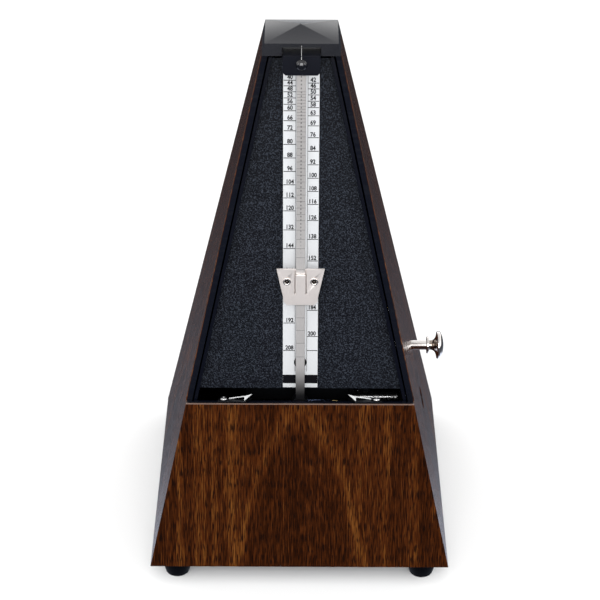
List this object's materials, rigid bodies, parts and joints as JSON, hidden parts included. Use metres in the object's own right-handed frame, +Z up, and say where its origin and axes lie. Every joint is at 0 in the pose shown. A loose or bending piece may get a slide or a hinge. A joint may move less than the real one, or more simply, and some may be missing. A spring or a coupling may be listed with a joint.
{
  "type": "mechanical pyramid metronome",
  "caption": "Wind-up pyramid metronome: walnut-grained case, open front with tempo scale, swinging rod with sliding weight, beat bell selector and a full clockwork train inside.",
  "frame": {"origin": "on the table, under the middle of the case", "axes": "+Z up, the open front with the pendulum faces -Y, +X is to the viewer's right as seen from the front"},
  "size_m": [0.117, 0.116, 0.213],
  "materials": {
    "walnut_case": "walnut grain under gloss lacquer",
    "black_plastic": "satin black",
    "dial_black": "fine textured black",
    "scale_plate": "silver, printed tempo marks",
    "rubber_feet": "matte",
    "nickel": "nickel plated",
    "steel": "polished",
    "spring_steel": "blued spring",
    "brass": "bright",
    "zinc": "die cast, plain"
  },
  "bodies": {
    "case": {"case_shell": "walnut_case", "base_plate": "black_plastic", "front_left_foot": "rubber_feet", "front_right_foot": "rubber_feet", "rear_left_foot": "rubber_feet", "rear_right_foot": "rubber_feet", "top_cap": "black_plastic", "front_frame": "black_plastic", "dial_panel": "dial_black", "scale_plate": "scale_plate", "pendulum_catch": "black_plastic", "catch_knob": "black_plastic", "left_door_clip": "nickel", "left_clip_screw": "nickel", "right_door_clip": "nickel", "right_clip_screw": "nickel", "left_movement_plate": "brass", "right_movement_plate": "brass", "lower_front_pillar": "brass", "lower_rear_pillar": "brass", "upper_front_pillar": "brass", "upper_rear_pillar": "brass", "left_movement_screw": "steel", "right_movement_screw": "steel", "front_cock": "brass", "escapement_bracket": "brass", "spring_post": "steel", "mainspring": "spring_steel", "bell": "nickel", "bell_post": "steel", "bell_nut": "steel", "hammer_stud": "steel"},
    "pendulum": {"pendulum_rod": "steel", "pendulum_hub": "brass", "verge": "steel", "front_pallet": "steel", "rear_pallet": "steel", "balance_bob": "zinc", "bob_screw": "steel"},
    "sliding_weight": {"weight_front_plate": "nickel", "weight_back_plate": "nickel", "left_weight_rivet": "nickel", "right_weight_rivet": "nickel"},
    "winding_arbor": {"winding_arbor": "steel", "ratchet_wheel": "steel"},
    "great_wheel": {"great_wheel": "brass", "click_screw": "steel", "click_spring": "spring_steel"},
    "click": {"click": "steel"},
    "centre_arbor": {"centre_pinion_arbor": "steel", "centre_wheel": "brass"},
    "escape_arbor": {"escape_pinion_arbor": "steel", "crown_wheel": "brass"},
    "drum_arbor": {"drum_pinion_arbor": "steel"},
    "cam_drum": {"cam_drum": "brass"},
    "beat_selector": {"selector_rod": "nickel", "selector_knob": "nickel", "selector_fork": "steel"},
    "bell_hammer": {"hammer_lever": "steel", "hammer_head": "brass"}
  },
  "joints": [
    {"name": "pendulum_swing", "type": "hinge", "parent": "case", "child": "pendulum", "pos_m": [0, -0.03669, 0.07008], "axis": [0, -0.9888, 0.1491], "range_deg": [-21, 21]},
    {"name": "weight_slide", "type": "slide", "parent": "pendulum", "child": "sliding_weight", "axis": [0, 0.1491, 0.9888], "range_m": [-0.0376, 0.0676]},
    {"name": "winding_turn", "type": "hinge", "parent": "case", "child": "winding_arbor", "pos_m": [0, 0.002, 0.0475], "axis": [1, 0, 0], "continuous": true, "deforming": ["mainspring"]},
    {"name": "great_wheel_turn", "type": "hinge", "parent": "case", "child": "great_wheel", "pos_m": [0, 0.002, 0.0475], "axis": [1, 0, 0], "continuous": true},
    {"name": "click_lift", "type": "hinge", "parent": "great_wheel", "child": "click", "pos_m": [0.0157, -0.0078, 0.0475], "axis": [-1, 0, 0], "range_deg": [0, 6], "stiffness_Nm_per_rad": 0.002, "springref_deg": -5.73},
    {"name": "centre_turn", "type": "hinge", "parent": "case", "child": "centre_arbor", "pos_m": [0, 0.00703, 0.06994], "axis": [1, 0, 0], "continuous": true},
    {"name": "escape_turn", "type": "hinge", "parent": "case", "child": "escape_arbor", "pos_m": [0, -0.01098, 0.0662], "axis": [1, 0, 0], "continuous": true},
    {"name": "drum_arbor_turn", "type": "hinge", "parent": "case", "child": "drum_arbor", "pos_m": [0, 0.02357, 0.07596], "axis": [1, 0, 0], "continuous": true},
    {"name": "cam_drum_shift", "type": "slide", "parent": "drum_arbor", "child": "cam_drum", "axis": [1, 0, 0], "range_m": [-0.0051, 0.0017]},
    {"name": "selector_pull", "type": "slide", "parent": "case", "child": "beat_selector", "axis": [1, 0, 0], "range_m": [-0.0051, 0.0017]},
    {"name": "hammer_strike", "type": "hinge", "parent": "case", "child": "bell_hammer", "pos_m": [0, 0.01998, 0.05757], "axis": [1, 0, 0], "range_deg": [-3, 6]}
  ],
  "couplings": [
    {"joint": "centre_turn", "follows": "great_wheel_turn", "ratio": -3.6},
    {"joint": "escape_turn", "follows": "great_wheel_turn", "ratio": 12.96},
    {"joint": "drum_arbor_turn", "follows": "great_wheel_turn", "ratio": 16.2},
    {"joint": "cam_drum_shift", "follows": "selector_pull", "ratio": 1}
  ]
}
